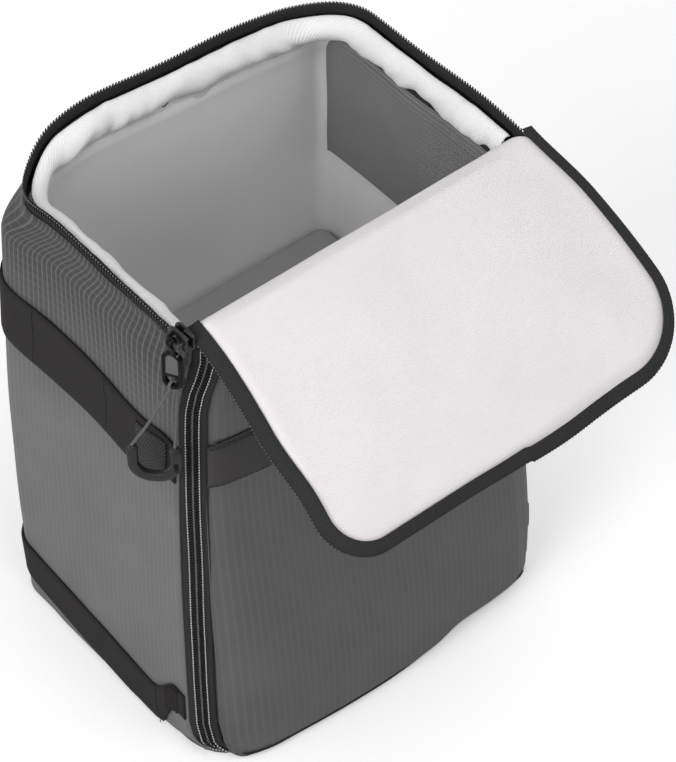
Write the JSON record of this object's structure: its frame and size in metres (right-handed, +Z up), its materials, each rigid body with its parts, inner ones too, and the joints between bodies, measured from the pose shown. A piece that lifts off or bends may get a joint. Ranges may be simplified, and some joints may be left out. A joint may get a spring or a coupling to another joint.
{
  "type": "camera bag insert",
  "caption": "Tall padded camera bag insert in dark ripstop, its pale lid folded forward, with one long coil zip, two webbing straps, a ribbed pocket and a corded puller.",
  "frame": {"origin": "the middle of the underside of the base panel, on the surface it stands on", "axes": "X across the door to the right as seen from the front, Y from the door to the back, Z up"},
  "size_m": [0.2731, 0.3235, 0.345],
  "materials": {
    "shell_ripstop": "fine striped ripstop",
    "grey_foam": "closed foam board",
    "grey_knit": "brushed knit",
    "pale_knit": "brushed knit",
    "black_tape": "woven zip tape",
    "black_teeth": "nylon coil",
    "dark_webbing": "woven webbing",
    "ribbed_elastic": "ribbed elastic cloth",
    "divider_knit": "brushed knit over foam",
    "hook_tape": "hook tape",
    "black_metal": "glossy black plated",
    "black_moulding": "satin moulding",
    "black_cord": "braided cord"
  },
  "bodies": {
    "box": {"side_wrap": "shell_ripstop", "left_board": "grey_foam", "right_board": "grey_foam", "back_board": "grey_foam", "side_lining": "grey_knit", "rim_gusset": "pale_knit", "base_panel": "shell_ripstop", "base_board": "grey_foam", "base_lining": "grey_knit", "rim_tape": "black_tape", "rim_teeth": "black_teeth", "rim_stop": "black_metal", "frame_tape": "black_tape", "frame_teeth": "black_teeth", "upper_strap": "dark_webbing", "lower_strap": "dark_webbing", "pocket_panel": "ribbed_elastic", "pocket_hem": "black_tape"},
    "door": {"door_shell": "shell_ripstop", "door_board": "grey_foam", "door_lining": "grey_knit", "door_tape": "black_tape", "door_teeth": "black_teeth", "front_band": "dark_webbing", "side_hinge_strip": "shell_ripstop", "top_hinge_strip": "shell_ripstop"},
    "lid": {"lid_lining": "pale_knit", "lid_board": "grey_foam", "lid_shell": "shell_ripstop", "lid_hinge_flap": "pale_knit", "lid_tape": "black_tape", "lid_teeth": "black_teeth"},
    "slider": {"slider_body": "black_metal"},
    "tab": {"pull_tab": "black_moulding"},
    "puller": {"puller_cord": "black_cord", "puller_grip": "black_moulding"},
    "shelf": {"lens_shelf": "divider_knit", "shelf_left_tab": "hook_tape", "shelf_right_tab": "hook_tape"},
    "upright": {"upright_divider": "divider_knit", "upright_back_tab": "hook_tape"}
  },
  "joints": [
    {"name": "door_swing", "type": "hinge", "parent": "box", "child": "door", "pos_m": [0.119, -0.0874, 0], "axis": [0, 0.0363, 0.9993], "range_deg": [0, 150]},
    {"name": "lid_fold", "type": "hinge", "parent": "door", "child": "lid", "pos_m": [0, -0.084, 0.344], "axis": [1, 0, 0], "range_deg": [-202, 18]},
    {"name": "slider_travel", "type": "slide", "parent": "box", "child": "slider", "axis": [0, 1, 0], "range_m": [0, 0.1]},
    {"name": "tab_swing", "type": "hinge", "parent": "slider", "child": "tab", "pos_m": [-0.1242, -0.082, 0.339], "axis": [0, 1, 0], "range_deg": [0, 100]},
    {"name": "puller_swing", "type": "hinge", "parent": "tab", "child": "puller", "pos_m": [-0.1242, -0.082, 0.3111], "axis": [1, 0, 0], "range_deg": [-25, 25]},
    {"name": "shelf_height", "type": "slide", "parent": "box", "child": "shelf", "axis": [0, 0, 1], "range_m": [-0.03, 0.03]},
    {"name": "upright_shift", "type": "slide", "parent": "box", "child": "upright", "axis": [1, 0, 0], "range_m": [-0.09, 0.05]}
  ]
}
